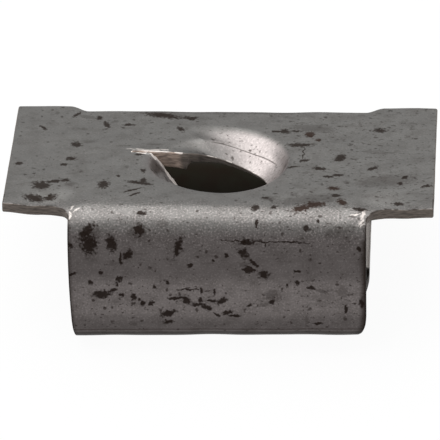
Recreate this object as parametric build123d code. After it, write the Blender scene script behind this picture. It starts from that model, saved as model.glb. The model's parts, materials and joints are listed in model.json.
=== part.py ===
from build123d import *
from build123d import SkipClean
from math import asin, atan2, cos, degrees, hypot, pi, radians, sin, sqrt, tan
import os

# U clip speed nut: one strip of spring steel folded into a U. The top leaf is a T-shaped
# head with the thread impression, the web and the lower leg wrap below it, and the lower
# leg carries the plain screw hole.
#
# The clip is drawn in the leaf's own frame: X across the width, Y from the web towards the
# open mouth, Z up, with the leaf's top face on Z = 0 and the ears' front edge on Y = 0.
# It is laid down at the end, on its lower leg, which is how it rests.

# --- sheet -----------------------------------------------------------------------------
sheet = 0.55  # spring steel thickness

# --- top leaf --------------------------------------------------------------------------
head_width = 23.0  # across the two ears
head_depth = 12.3  # ears, front edge to rear edge
body_width = 15.9  # strip between the ears, and the web
ear_corner = 0.35  # outer corners of the ears
root_fillet = 1.1  # ear to body, measured on the flat blank
rear_recess = 0.4  # the body's rear edge sits this far in from the ears' rear edges
rear_step = 0.8  # width of the S-shaped step between the two
rear_round = 1.3  # radius of each half of that S

# --- web and folds -----------------------------------------------------------------------
clip_height = 7.6  # leaf top to the bottom fold's lowest point
front_fold = 1.6  # outer radius, leaf to web
bottom_fold = 1.9  # outer radius, web to lower leg
waist_draw = 0.35  # each side edge draws in by this much at the bottom fold
waist_start = 2.2  # below the leaf's top, where the web starts to draw in

# --- lower leg ---------------------------------------------------------------------------
leg_rise = 17.0  # degrees, the leg closes up towards the leaf
leg_spread = 0.15  # each side edge of the leg stands this far outside the body's
leg_flare = 4.2  # depth over which the waist opens out to the leg's full width
leg_corner = 2.2  # rounded corners at the free end
lip_turn = 20.0  # degrees, the lead-in lip turns back down
lip_bend = 1.2  # radius on the lip's lower face
lip_flat = 0.8
lip_reach = 0.8  # the lip's edge stands this far past the ears' rear edge

# --- thread impression -----------------------------------------------------------------------
# A dished collar round the pierced hole. Its rim falls clockwise from the slit's high side to
# its low side. The slit passes the hole's centre at a distance, as a chord does. The dish is
# wider than the hole needs on the high side, towards the back left.
thread_y = 5.1  # hole centre behind the ears' front edge
thread_radius = 2.45  # pierced rim that the screw's thread runs on
dish_radius = 4.3
dish_shift_x, dish_shift_y = -0.6, 0.7  # dish centre from the hole's centre
slit_angle = 180.0  # degrees, from +X towards +Y, the way that the slit leaves the hole
slit_offset = 1.5  # the slit's line runs this far from the hole's centre
slit_reach = 5.0  # its rounded end, measured along that line
slit_width = 0.3
rim_start = 0.08  # depth of the rim on the slit's high side
rim_fall = 1.25  # how much further it falls on its steep first part
rim_fall_turn = 105.0  # degrees of turn that this part takes
helix_fall = 0.32  # further fall, spread evenly over the whole turn
crease_share = 0.52  # most of the rim's depth that is reached outside the crease
crease_rise = 50.0, 100.0  # degrees of turn between which that share builds up
crease_fade = 120.0, 210.0  # and between which it fades out again
crease_place = 0.3  # crease on the way out to the dish's edge, where its share is greatest
shoulder_place = 0.75  # and where it has none, so that the collar bends straight off the leaf

# --- plain hole ------------------------------------------------------------------------------
screw_hole_radius = 3.5

# --- construction ----------------------------------------------------------------------------
wedge_count = 12  # the impression is lofted in this many pieces
rim_trim = 0.6  # the lofts run this far inside the rim before it is pierced
skin = 0.01  # their outer rim lies this far inside both faces of the leaf
overlap = 0.12  # width of that rim buried in the leaf's own metal
end_gap = 1.5  # degrees, the lofts stop this far short of the slit's middle
spare = 3.0  # how far cutters run past the metal

half_head = head_width / 2
half_body = body_width / 2
half_waist = half_body - waist_draw
half_leg = half_body + leg_spread
fold_y, fold_z = bottom_fold - front_fold, bottom_fold - clip_height
fillet_bend = root_fillet / (front_fold - sheet / 2)  # turn of the front fold inside the fillet
thread_center = Vector(0, thread_y, 0)
dish_center = thread_center + Vector(dish_shift_x, dish_shift_y, 0)


# --- folded strip ------------------------------------------------------------------------------
# Outer face as one tangent path in the YZ plane, thickened towards the inside of the U.
rise_angle, lip_angle = radians(leg_rise), radians(leg_rise - lip_turn)
bends_depth = bottom_fold * sin(rise_angle) + lip_bend * (sin(rise_angle) - sin(lip_angle))
lip_depth = lip_flat * cos(lip_angle)
leg_flat = (head_depth + lip_reach - fold_y - bends_depth - lip_depth) / cos(rise_angle)

leaf_line = Line((head_depth, 0), (0, 0))
front_arc = JernArc(leaf_line @ 1, leaf_line % 1, front_fold, 90)
web_line = Line(front_arc @ 1, (-front_fold, fold_z))
bottom_arc = JernArc(web_line @ 1, web_line % 1, bottom_fold, 90 + leg_rise)
leg_line = Line(bottom_arc @ 1, bottom_arc @ 1 + (bottom_arc % 1) * leg_flat)
lip_arc = JernArc(leg_line @ 1, leg_line % 1, lip_bend, -lip_turn)
lip_line = Line(lip_arc @ 1, lip_arc @ 1 + (lip_arc % 1) * lip_flat)
outer_face = Wire([leaf_line, front_arc, web_line, bottom_arc, leg_line, lip_arc, lip_line])
side_view = make_face(outer_face.offset_2d(sheet, side=Side.LEFT))
strip = extrude(Plane.YZ * side_view, half_head, both=True)


# --- blank's outline -----------------------------------------------------------------------------
head_view = make_face(
    Polyline(
        (-half_head, 0),
        (half_head, 0),
        (half_head, head_depth),
        (half_body + rear_step / 2, head_depth),
        (half_body - rear_step / 2, head_depth - rear_recess),
        (-half_body + rear_step / 2, head_depth - rear_recess),
        (-half_body - rear_step / 2, head_depth),
        (-half_head, head_depth),
        close=True,
    )
)
outer_corners = head_view.vertices().filter_by(lambda v: abs(v.X) > half_head - sheet)
head_view = fillet(outer_corners, ear_corner)
step_corners = head_view.vertices().filter_by(
    lambda v: abs(abs(v.X) - half_body) < rear_step and v.Y > thread_y
)
head_view = fillet(step_corners, rear_round)

leg_edge = Spline(
    (half_waist, fold_y), (half_leg, fold_y + leg_flare), tangents=((0, 1), (0, 1))
)
tip_face = strip.faces().filter_by(lambda f: f.center().Z < -front_fold).sort_by(Axis.Y)[-1]
leg_tip = tip_face.bounding_box().max.Y
leg_side = Polyline(leg_edge @ 1, (half_leg, leg_tip), (0, leg_tip), (0, fold_y), leg_edge @ 0)
leg_view = make_face(Wire([leg_edge, *leg_side.edges()]))
tip_corner = leg_view.vertices().sort_by(lambda v: v.X + v.Y)[-1]
leg_view = fillet(tip_corner, leg_corner)
leg_view += mirror(leg_view, Plane.YZ)


def outside(kept, low, high):
    """Everything between two heights and two depths that lies outside the plan view to be kept."""
    bounds = kept.bounding_box()
    sheet_metal = Rectangle(2 * (half_head + spare), bounds.size.Y)
    waste = Pos(0, (bounds.min.Y + bounds.max.Y) / 2) * sheet_metal - kept
    return Pos(0, 0, low) * extrude(waste, high - low)


def beside_web():
    """Right of the web, seen from the front: straight, then drawn in towards the bottom fold."""
    top = (half_body, -front_fold)
    start = (half_body, -waist_start)
    edge = TangentArc(start, (half_waist, -clip_height), tangent=(0, -1))
    far = half_head + spare
    rest = Polyline(edge @ 1, (far, -clip_height), (far, -front_fold), top, start)
    view = make_face(Wire([edge, *rest.edges()]))
    return extrude(Plane.XZ.offset(-fold_y) * view, front_fold + spare)


def beside_fold():
    """Right of the front fold, from the end of the ear root's fillet down to the web."""
    reach = front_fold + spare
    across, up = -reach * sin(fillet_bend), reach * cos(fillet_bend) - front_fold
    corners = (0, -front_fold), (across, up), (-reach, up), (-reach, -front_fold)
    return Pos(half_body) * extrude(Plane.YZ * make_face(Polyline(*corners, close=True)), half_head)


def beside_root():
    """Right of the ear root's fillet, lofted round the front fold so its wall is square."""
    far = half_head + spare
    low, high = front_fold - 2 * sheet, front_fold + sheet
    sections = []
    for step in range(7):
        swing = step * pi / 12
        edge = half_body + root_fillet * (1 - sin(swing))
        bend = fillet_bend * (1 - cos(swing))
        across = Plane((0, 0, -front_fold), x_dir=(1, 0, 0), z_dir=(0, -cos(bend), -sin(bend)))
        view = Polyline((edge, low), (far, low), (far, high), (edge, high), close=True)
        sections.append(across * make_face(view))
    return loft(sections)


# --- thread impression ---------------------------------------------------------------------------
def rim_depth(turn):
    """Depth of the rim after so many degrees, clockwise from the slit's high side."""
    steep = sin(pi / 2 * min(1, turn / rim_fall_turn)) ** 1.2
    return rim_start + rim_fall * steep + helix_fall * turn / 360


def crease_strength(turn):
    """0 where the collar bends straight off the leaf, 1 where the dish outside it is deepest."""
    rise, fade = (
        min(1, max(0, (turn - first) / (last - first)))
        for first, last in (crease_rise, crease_fade)
    )
    return sin(pi / 2 * rise) * cos(pi / 2 * fade) ** 2


def dish_section(turn):
    """Slice of the dished sheet after so much turn, on a line that passes the hole's centre at
    the slit's distance: from inside the pierced rim out into the flat leaf."""
    heading = radians(slit_angle - turn)
    outward = Vector(cos(heading), sin(heading), 0)
    beside = Vector(sin(heading), -cos(heading), 0)
    start = thread_center + beside * slit_offset
    to_dish = dish_center - start
    edge = to_dish.dot(outward) + sqrt(dish_radius**2 - to_dish.dot(beside) ** 2)
    rim = sqrt(thread_radius**2 - slit_offset**2)
    strength = crease_strength(turn)
    crease_depth = crease_share * strength * rim_depth(turn)
    place = shoulder_place + (crease_place - shoulder_place) * strength
    crease = rim + place * (edge - rim)

    # upper face: an S-shaped dish down to the crease, then the straight collar
    outer = Vector(edge, -skin)
    corner = Vector(crease, -crease_depth - skin)
    collar_slope = (rim_depth(turn) - crease_depth) / (crease - rim)
    inner = corner - Vector(1, collar_slope) * (crease - rim + rim_trim)

    # lower face: straight below it, so far that the collar is one sheet thick
    low_outer = outer + Vector(0, 2 * skin - sheet)
    collar_drop = Vector(0, -sheet * hypot(1, collar_slope))
    low_corner, low_inner = corner + collar_drop, inner + collar_drop

    outline = Wire(
        [
            s_curve(outer, corner),
            Line(corner, inner),
            Line(inner, low_inner),
            Line(low_inner, low_corner),
            s_curve(low_outer, low_corner),
            Line(low_outer, outer),
        ]
    )
    return Plane(start, outward, beside) * make_face(outline)


def s_curve(high, low):
    """Level where it leaves the leaf, and half as steep again as its chord at the crease."""
    across = high.X - low.X
    level = Vector(across / 2, 0)
    lean = Vector(across, 1.5 * (high.Y - low.Y)) / 4
    return Bezier(high, high - level, low + lean, low)


def dish_wedges():
    """The impression as lofted wedges, each with its own stretch of the pierced rim."""
    piercing = Pos(thread_center) * Cylinder(thread_radius, 2 * clip_height)
    step = (360 - 2 * end_gap) / wedge_count
    for i in range(wedge_count):
        start = end_gap + i * step
        yield loft([dish_section(start + k * step / 2) for k in range(3)]) - piercing


slot = Pos(slit_reach / 2, -slit_offset) * SlotOverall(slit_reach + slit_width, slit_width)
slit = Pos(thread_center) * Rot(0, 0, slit_angle) * extrude(slot, 2 * sheet, both=True)

# --- clip ------------------------------------------------------------------------------------------
# The impression goes in before the outline is cut, while the leaf is still one plain face.
# Its faces stay unmerged, so each wedge keeps the stretch of rim that follows the helix there.
knee = bottom_arc @ 1
leg_z = knee.Y + (thread_y - knee.X) * tan(rise_angle)
leg_frame = Plane((0, thread_y, leg_z)).rotated((leg_rise, 0, 0))

clip = strip - Pos(dish_center) * Cylinder(dish_radius - overlap, 3 * sheet)
with SkipClean():
    clip = clip.fuse(*dish_wedges()).cut(slit)
    for cutter in (beside_web(), beside_fold(), beside_root()):
        clip = clip.cut(cutter, mirror(cutter, Plane.YZ))
    clip = clip.cut(outside(head_view, -2 * sheet, sheet))
    clip = clip.cut(outside(leg_view, -clip_height - spare, -front_fold))
    # the plain hole is square to the leg, where the thread's axis crosses it
    clip = clip.cut(leg_frame * Cylinder(screw_hole_radius, 4 * sheet))

# At rest the clip stands on the bottom fold and on the lip's edge.
heel = lip_line @ 1
rise, run = heel.Y - fold_z, heel.X - fold_y
rest_tilt = degrees(atan2(rise, run) + asin(bottom_fold / hypot(rise, run)))
clip = clip.rotate(Axis.X, -rest_tilt)
box = clip.bounding_box()
clip = clip.translate((0, -box.center().Y, -box.min.Z))

os.makedirs("parts", exist_ok=True)
export_step(clip, "parts/clip_nut.step")
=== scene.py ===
"""Looks of a folded U clip speed nut: worn spring steel, one strip folded once over itself.

The whole clip is one closed skin. It is drawn flat first, as the blank that a press tool cuts,
then carried round the folds and pressed down into the thread impression. Lengths are in
millimetres in the classes below, and in metres in the meshes.
"""

import json
import logging
import math
from dataclasses import dataclass, field
from enum import Enum

import bpy
import numpy as np
from mathutils import Matrix, Vector

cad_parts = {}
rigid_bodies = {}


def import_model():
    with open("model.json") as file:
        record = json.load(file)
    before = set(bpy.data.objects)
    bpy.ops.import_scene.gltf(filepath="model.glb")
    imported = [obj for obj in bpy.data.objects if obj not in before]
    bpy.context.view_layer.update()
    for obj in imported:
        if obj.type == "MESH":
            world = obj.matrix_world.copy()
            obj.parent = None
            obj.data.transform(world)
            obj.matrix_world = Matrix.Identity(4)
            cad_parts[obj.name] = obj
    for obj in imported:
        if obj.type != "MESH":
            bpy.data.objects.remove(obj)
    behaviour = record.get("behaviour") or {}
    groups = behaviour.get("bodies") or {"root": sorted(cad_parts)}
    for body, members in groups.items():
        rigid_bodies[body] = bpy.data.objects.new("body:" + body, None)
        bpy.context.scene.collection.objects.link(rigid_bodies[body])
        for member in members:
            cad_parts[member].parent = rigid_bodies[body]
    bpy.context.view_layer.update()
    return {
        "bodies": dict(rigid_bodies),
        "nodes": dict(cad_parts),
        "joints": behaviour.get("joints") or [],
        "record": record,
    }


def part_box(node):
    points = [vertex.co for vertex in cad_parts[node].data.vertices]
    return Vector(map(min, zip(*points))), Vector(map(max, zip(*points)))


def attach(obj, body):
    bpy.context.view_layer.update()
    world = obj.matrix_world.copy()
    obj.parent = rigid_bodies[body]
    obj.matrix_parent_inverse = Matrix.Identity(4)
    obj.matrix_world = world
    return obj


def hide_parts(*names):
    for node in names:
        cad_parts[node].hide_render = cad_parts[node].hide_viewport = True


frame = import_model()

MM = 0.001
NODE = "clip_nut"
Tree = bpy.types.NodeTree
Socket = bpy.types.NodeSocket
Pair = tuple[float, float]  # from and to, left and right, or x and y
log = logging.getLogger("clip_nut")


def smooth(t: np.ndarray) -> np.ndarray:
    """0 up to t = 0, 1 from t = 1, and 3t^2 - 2t^3 between them."""
    t = np.clip(t, 0.0, 1.0)
    return t * t * (3.0 - 2.0 * t)


def ease(value: np.ndarray, start: float, end: float) -> np.ndarray:
    """0 on the start's side, 1 on the end's side, and smooth of the way between them."""
    return smooth((value - start) / (end - start))


def bump(t: np.ndarray) -> np.ndarray:
    """A bell, exp(-t^2)."""
    return np.exp(-t * t)


def linear(colour: str) -> tuple[float, float, float, float]:
    """An sRGB colour made linear.

    Args:
        colour: Six hex digits, such as "8A8A86".

    Returns:
        Red, green and blue from 0 to 1, and an alpha of 1.
    """
    parts = [int(colour[i : i + 2], 16) / 255 for i in (0, 2, 4)]
    rgb = [c / 12.92 if c <= 0.04045 else ((c + 0.055) / 1.055) ** 2.4 for c in parts]
    return (*rgb, 1.0)


# --- shape -----------------------------------------------------------------------------------


@dataclass(frozen=True)
class Folds:
    """Side view of the strip: the outer face from the leaf round the web to the leg's lip.

    The path is measured along the outer face. It is 0 where the front fold starts, positive
    round the web and the leg, and negative on the leaf, where its size is the leaf's own depth.
    """

    sheet: float = 0.55
    front_fold: float = 1.6
    bottom_fold: float = 1.7
    clip_height: float = 7.7
    leg_rise: float = 17.0
    lip_turn: float = 20.0
    lip_bend: float = 1.2
    lip_flat: float = 0.8
    lip_end_y: float = 13.4

    def leg_flat(self) -> float:
        """Length of the leg's straight run.

        Returns:
            The length with which the lip ends at lip_end_y.
        """
        rise, lip = math.radians(self.leg_rise), math.radians(self.leg_rise - self.lip_turn)
        bends = self.bottom_fold * math.sin(rise) + self.lip_bend * (math.sin(rise) - math.sin(lip))
        start = self.bottom_fold - self.front_fold
        return (self.lip_end_y - start - bends - self.lip_flat * math.cos(lip)) / math.cos(rise)

    def runs(self) -> tuple[np.ndarray, np.ndarray]:
        """Lengths and curvatures of the stretches, from the front fold to the lip.

        Returns:
            Length of each stretch, and how fast its heading turns, in radians a millimetre.
        """
        web = self.clip_height - self.front_fold - self.bottom_fold
        arcs = np.radians([90.0, 90.0 + self.leg_rise, self.lip_turn])
        radii = np.array([self.front_fold, self.bottom_fold, self.lip_bend])
        front, bottom, lip = arcs * radii
        lengths = np.array([front, web, bottom, self.leg_flat(), lip, self.lip_flat])
        turns = np.array([1 / radii[0], 0.0, 1 / radii[1], 0.0, -1 / radii[2], 0.0])
        return lengths, turns

    def starts(self) -> np.ndarray:
        """Path length at which each stretch starts, and the end of the last one."""
        return np.concatenate([[0.0], np.cumsum(self.runs()[0])])

    def face(self, path: np.ndarray) -> tuple[np.ndarray, np.ndarray]:
        """Outer face at these path lengths.

        A stretch of length t that turns by c radians a millimetre is a chord of
        t sin(ct/2) / (ct/2), at its first heading plus ct/2.

        Args:
            path: Lengths along the outer face, negative on the leaf.

        Returns:
            Points (y, z) and the unit vectors (y, z) that point into the sheet.
        """
        lengths, turns = self.runs()
        starts = self.starts()
        headings = math.pi + np.concatenate([[0.0], np.cumsum(lengths * turns)])[:-1]
        chords = lengths * np.sinc(lengths * turns / 2 / math.pi)
        along = headings + lengths * turns / 2
        corners = np.cumsum(np.stack([chords * np.cos(along), chords * np.sin(along)], -1), 0)
        corners = np.concatenate([[[0.0, 0.0]], corners[:-1]])

        stretch = np.clip(np.searchsorted(starts, path, side="right") - 1, 0, len(lengths) - 1)
        length = path - starts[stretch]
        turn = np.where(path < 0, 0.0, turns[stretch])
        middle = headings[stretch] + length * turn / 2
        chord = length * np.sinc(length * turn / 2 / math.pi)
        point = corners[stretch] + np.stack([np.cos(middle), np.sin(middle)], -1) * chord[..., None]
        heading = headings[stretch] + length * turn
        return point, np.stack([-np.sin(heading), np.cos(heading)], -1)

    def rest(self) -> Pair:
        """How the clip lies, on the bottom fold and on the lip's edge.

        Returns:
            Tilt in radians, and the bottom fold's centre height above the floor.
        """
        end = self.face(self.starts()[-1:] - 1e-9)[0][0]
        run = end - np.array([self.bottom_fold - self.front_fold, self.bottom_fold - self.clip_height])
        tilt = math.atan2(run[1], run[0]) + math.asin(self.bottom_fold / math.hypot(*run))
        return tilt, self.bottom_fold


@dataclass(frozen=True)
class Impression:
    """The thread impression: a dished collar whose rim falls clockwise from a slit.

    Depths are measured down from the leaf's top, and turn is in degrees clockwise from the slit.
    """

    y: float = 5.1
    radius: float = 2.45
    slit_offset: float = 1.5
    slit_reach: float = 5.22
    slit_half: float = 0.07
    dish_radius: float = 4.3
    dish_x: float = -0.6
    dish_y: float = 0.7
    start_depth: float = 0.08
    fall: float = 1.25
    fall_turn: float = 105.0
    fall_power: float = 1.25
    helix_fall: float = 0.32
    flap_drop: float = 1.0
    flap_from: float = 285.0
    crease: float = 3.3
    crease_share: float = 0.52
    crease_rise: Pair = (45.0, 100.0)
    crease_fade: Pair = (120.0, 210.0)
    high_shoulder: float = 3.6
    to_crease: Pair = (15.0, 60.0)
    near_shoulder: float = 3.3
    to_near: Pair = (130.0, 200.0)
    flap_shoulder: float = 4.1
    bowl_round: float = 0.2
    bend_soft: float = 0.22
    reach: Pair = (5.2, 4.2)
    draw: float = 0.22
    curl: float = 0.45

    def slit_angle(self, r: np.ndarray) -> np.ndarray:
        """Direction of the slit in degrees at this distance from the centre."""
        return 180.0 - np.degrees(np.arcsin(self.slit_offset / np.maximum(r, self.slit_offset * 1.2)))

    def turn(self, x: np.ndarray, y: np.ndarray, near: np.ndarray) -> tuple[np.ndarray, np.ndarray]:
        """Distance from the centre and turn from the slit.

        Args:
            x: Across the leaf.
            y: Depth on the leaf.
            near: A turn on the wanted side of the slit for each point.

        Returns:
            Distance and turn, the turn within half a circle of the one given.
        """
        r = np.hypot(x, y - self.y)
        turn = self.slit_angle(r) - np.degrees(np.arctan2(y - self.y, x))
        return r, turn - 360.0 * np.round((turn - near) / 360.0)

    def rim_depth(self, turn: np.ndarray) -> np.ndarray:
        """Depth of the rim: a steep first part, a sine to a power, and the helix over it all.

        Args:
            turn: Degrees clockwise from the slit.

        Returns:
            Depth below the leaf's top.
        """
        part = np.clip(turn / self.fall_turn, 0.0, 1.0)
        steep = np.sin(np.pi / 2 * part) ** self.fall_power
        flap = self.flap_drop * ease(turn, self.flap_from, 360.0)
        return self.start_depth + self.fall * steep + self.helix_fall * turn / 360.0 + flap

    def strength(self, turn: np.ndarray) -> np.ndarray:
        """How strongly the leaf is dished outside the collar.

        It rises as a sine and fades as a squared cosine.

        Args:
            turn: Degrees clockwise from the slit.

        Returns:
            0 where the collar bends straight off the leaf, 1 where the dish is deepest.
        """
        rise, fade = (
            np.clip((turn - first) / (last - first), 0.0, 1.0)
            for first, last in (self.crease_rise, self.crease_fade)
        )
        return np.sin(np.pi / 2 * rise) ** 0.8 * np.cos(np.pi / 2 * fade) ** 2

    def shoulder(self, turn: np.ndarray) -> np.ndarray:
        """Where the collar bends down, blended from one part of the turn to the next.

        Args:
            turn: Degrees clockwise from the slit.

        Returns:
            Radius of the shoulder.
        """
        high = self.high_shoulder + (self.crease - self.high_shoulder) * ease(turn, *self.to_crease)
        near = high + (self.near_shoulder - self.crease) * ease(turn, *self.to_near)
        wide = ease(turn, self.flap_from, 360.0)
        return near + (self.flap_shoulder - self.near_shoulder) * wide

    def depth(self, x: np.ndarray, y: np.ndarray, near: np.ndarray) -> np.ndarray:
        """How deep the leaf's top is pressed.

        The depth is a bowl that reaches a share of the rim's depth at the crease, and a wall that
        bends over a shoulder and falls straight to the rim.

        Args:
            x: Across the leaf.
            y: Depth on the leaf.
            near: A turn on the wanted side of the slit for each point.

        Returns:
            Depth at each point, in millimetres.
        """
        r, turn = self.turn(x, y, near)
        angle = np.arctan2(y - self.y, x)
        along = self.dish_x * np.cos(angle) + self.dish_y * np.sin(angle)
        across = self.dish_x * np.sin(angle) - self.dish_y * np.cos(angle)
        edge = along + np.sqrt(self.dish_radius**2 - across**2)
        rim = self.rim_depth(turn)
        strength = self.strength(turn)
        share = self.crease_share * strength
        shoulder = self.shoulder(turn)

        t = np.clip((edge - r) / np.maximum(edge - shoulder, 0.5), 0.0, 1.0)
        bowl = (1 - self.bowl_round) * smooth(t) + self.bowl_round * t * t

        u = (shoulder - r) / (shoulder - self.radius)
        soft = self.bend_soft - 0.10 * strength - 0.12 * ease(turn, self.flap_from, 360.0)
        ramp = (u + np.sqrt(u * u + soft * soft)) / 2
        ramp = ramp / ((1 + np.sqrt(1 + soft * soft)) / 2)
        fade = ease(r, *self.reach)
        return rim * (share * bowl + (1 - share) * ramp * fade)

    def extra_sheet(self, x: np.ndarray, y: np.ndarray, near: np.ndarray) -> np.ndarray:
        """How much thicker the metal is than the sheet.

        It is drawn thinner down the collar, and torn deeper along the slit's high edge.

        Args:
            x: Across the leaf.
            y: Depth on the leaf.
            near: A turn on the wanted side of the slit for each point.

        Returns:
            The difference in thickness, below 0 where the metal is thinner.
        """
        r, turn = self.turn(x, y, near)
        across = np.radians(np.clip(turn, 0.0, 90.0)) * r
        length = ease(r, 2.2, 2.5) * ease(r, 4.9, 3.3)
        torn = self.curl * bump(across / 0.32) * length * (near < 90.0)
        deep = self.rim_depth(turn) / (self.start_depth + self.fall)
        thin = self.draw * np.minimum(deep, 1.0) * smooth((self.shoulder(turn) - r) / 0.7)
        return torn - thin


@dataclass(frozen=True)
class Blank:
    """The strip's outline and grid, drawn flat: x across, y along, the ears' front edge at y = 0.

    The waist and the leg have one value for the left half and one for the right half.
    """

    pitch: float = 0.16
    collar_rings: int = 22
    leaf_rings: int = 16
    web_rows: int = 52
    leg_rows: int = 63
    leg_rings: tuple[int, int] = (7, 14)
    edge: float = 0.08
    half_head: float = 11.5
    head_depth: float = 12.55
    half_body: float = 7.95
    ear_corner: float = 0.13
    root_fillet: float = 1.1
    root_run: float = 1.328
    rear_recess: float = 0.63
    ear_ahead: float = 0.2
    ahead_run: float = 1.0
    rear_step: Pair = (7.6, 8.6)
    waist_start: Pair = (3.11, 6.9)
    waist_end: Pair = (8.4, 8.7)
    waist_curve: Pair = (0.0088, 0.125)
    half_leg: Pair = (8.1, 7.98)
    leg_full: float = 13.8
    leg_corner: float = 2.2
    leg_hole: float = 3.5
    path_end: float = 22.8
    hole_path: float = 14.55
    hole_frame: float = 5.0
    slit_tip: float = 0.15

    def rear(self, x: np.ndarray) -> np.ndarray:
        """Rear edge of the head: a smooth step from the recessed middle to the ears."""
        ear = ease(np.abs(x), *self.rear_step)
        return self.head_depth - self.rear_recess * (1 - ear) - self.edge

    def half_width(self, path: np.ndarray, side: int) -> np.ndarray:
        """Width of one half of the strip on the web and the leg.

        It narrows with the square of the way from waist_start to waist_end, and widens again
        in a cubic with the same slope there and none at leg_full. The die drew the two sides in
        unequally.

        Args:
            path: Lengths along the outer face.
            side: 0 for the left half, 1 for the right one.

        Returns:
            Width of that half at each length.
        """
        start, end = self.waist_start[side], self.waist_end[side]
        curve, half_leg = self.waist_curve[side], self.half_leg[side]
        narrow = self.half_body - curve * np.clip(path - start, 0, None) ** 2
        way = end - start
        waist = self.half_body - curve * way**2
        slope = -2 * curve * way
        length = self.leg_full - end
        t = np.clip((path - end) / length, 0.0, 1.0)
        wide = waist + (half_leg - waist) * smooth(t) + slope * length * t * (1 - t) ** 2
        return np.where(path < end, narrow, wide)

    def grid(self, x: np.ndarray, y: np.ndarray, turn: np.ndarray | None = None) -> "Patch":
        """A patch of a grid.

        Args:
            x: Across the blank, in rows that run anticlockwise from their columns.
            y: Along the blank.
            turn: Each point's side of the slit, or None where there is no slit.

        Returns:
            The patch.
        """
        side = np.full(x.shape, 180.0) if turn is None else turn
        rows, columns = x.shape
        index = np.arange(rows * columns).reshape(rows, columns)
        quads = np.stack([index[:-1, :-1], index[:-1, 1:], index[1:, 1:], index[1:, :-1]], -1)
        return Patch(np.stack([x, y, side], -1).reshape(-1, 3), quads.reshape(-1, 4))

    def round_hole(self, centre: Pair, frame: np.ndarray, rings: np.ndarray,
                   outer_rings: int, twist: np.ndarray, gap: np.ndarray, turn: bool) -> "Patch":
        """Rings round a hole that grow into a frame of four sides.

        Each column runs on a ray from the centre to a point of the frame. Inside the last ring
        it keeps the ray's direction plus that ring's twist, and moves away from the slit by the
        gap there, which fades out with the distance from the slit.

        Args:
            centre: The hole's centre.
            frame: Points round the frame, clockwise, the last one equal to the first.
            rings: Radii of the rings.
            outer_rings: How many rings lie between the last radius and the frame.
            twist: Turn of each ring, in radians, anticlockwise.
            gap: Half the slit's width at each ring, 0 where there is none.
            turn: Whether the patch is the one with the slit.

        Returns:
            The patch.
        """
        middle = np.array(centre)
        rays = frame - middle
        angle = np.unwrap(np.arctan2(rays[:, 1], rays[:, 0]))
        share = (angle[0] - angle) / (2 * math.pi)
        clockwise = share[:, None] * 2 * math.pi * np.ones(len(rings))
        back = 2 * math.pi - clockwise
        push = gap / rings
        clockwise = clockwise + push * (np.exp(-clockwise * rings) - np.exp(-back * rings))
        direction = angle[0] - clockwise + twist
        inner = middle + rings[:, None] * np.stack([np.cos(direction), np.sin(direction)], -1)
        step = np.linspace(0, 1, outer_rings + 1)[1:, None]
        outer = inner[:, -1:, :] * (1 - step) + frame[:, None, :] * step
        points = np.concatenate([inner, outer], 1)
        side = np.broadcast_to(share[:, None] * 360.0, points.shape[:2]) if turn else None
        return self.grid(points[..., 0].T, points[..., 1].T, None if side is None else side.T)

    def leaf_rows(self, hole: Impression, rings: float) -> tuple[np.ndarray, int]:
        """Rows of the leaf from the fold to the rear, as shares, with one row on the slit's line.

        Args:
            hole: The thread impression.
            rings: Radius of the outermost ring round it.

        Returns:
            The shares, and the index of the slit's row.
        """
        side = self.half_body - self.edge
        low, high = -self.root_run, float(self.rear(np.array(side)))
        lean = math.radians(180.0 - float(hole.slit_angle(np.array(rings))))
        cut = (hole.y + side * math.tan(lean) - low) / (high - low)
        below = round(cut * (high - low) / self.pitch)
        above = round((1 - cut) * (high - low) / self.pitch)
        rows = np.concatenate([np.linspace(0, cut, below + 1), np.linspace(cut, 1, above + 1)[1:]])
        return rows, below

    def patches(self, hole: Impression) -> list["Patch"]:
        """Every patch of the flat blank.

        Args:
            hole: The thread impression.

        Returns:
            Middle of the leaf, both ears, web, leg and the leg's end.
        """
        side = self.half_body - self.edge
        across = np.linspace(-1, 1, round(2 * side / self.pitch) + 1)
        tip, reach = self.slit_tip, hole.slit_reach
        rings = np.concatenate([
            np.linspace(hole.radius + self.edge, reach - tip, self.collar_rings),
            reach - tip + tip * np.sin(np.radians([30.0, 60.0, 90.0])),
        ])
        rows, cut = self.leaf_rows(hole, reach)
        low = -self.root_run
        left = np.stack([np.full(rows.shape, -side), low + rows * (self.rear(-side) - low)], -1)
        right = left * [-1, 1]
        back = np.stack([across * side, self.rear(across * side)], -1)
        front = np.stack([across * side, np.full(across.shape, low)], -1)
        frame = np.concatenate([
            left[cut:], back[1:], right[::-1][1:], front[::-1][1:], left[1 : cut + 1],
        ])
        closing = np.clip((rings - (reach - tip)) / tip, 0.0, 1.0)
        gap = (hole.slit_half + self.edge) * np.sqrt(1 - closing**2)
        twist = np.radians(hole.slit_angle(rings) - hole.slit_angle(rings[-1:]))
        leaf = self.round_hole((0.0, hole.y), frame, rings, self.leaf_rings, twist, gap, True)

        ears = [self.ear(rows), self.ear(rows).mirrored()]

        hole_half = self.hole_frame
        web_path = np.linspace(self.root_run, self.hole_path - hole_half, self.web_rows)
        web = self.band(web_path, across)
        leg_path = np.linspace(self.hole_path - hole_half, self.hole_path + hole_half, self.leg_rows)
        row_x, row_y = self.rows_of(leg_path, across)
        edge_points = np.stack([row_x, row_y], -1)
        left, right = edge_points[:, 0], edge_points[:, -1]
        first, last = edge_points[0], edge_points[-1]
        middle = len(leg_path) // 2
        leg_frame = np.concatenate([
            left[middle::-1], first[1:], right[1:], last[::-1][1:], left[::-1][1 : len(left) - middle],
        ])
        inner, outer = self.leg_rings
        leg_rings = np.linspace(self.leg_hole + self.edge, self.leg_hole + 1.1, inner)
        none = np.zeros(inner)
        middle = (0.0, -self.hole_path)
        leg = self.round_hole(middle, leg_frame, leg_rings, outer, none, none, False)

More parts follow.
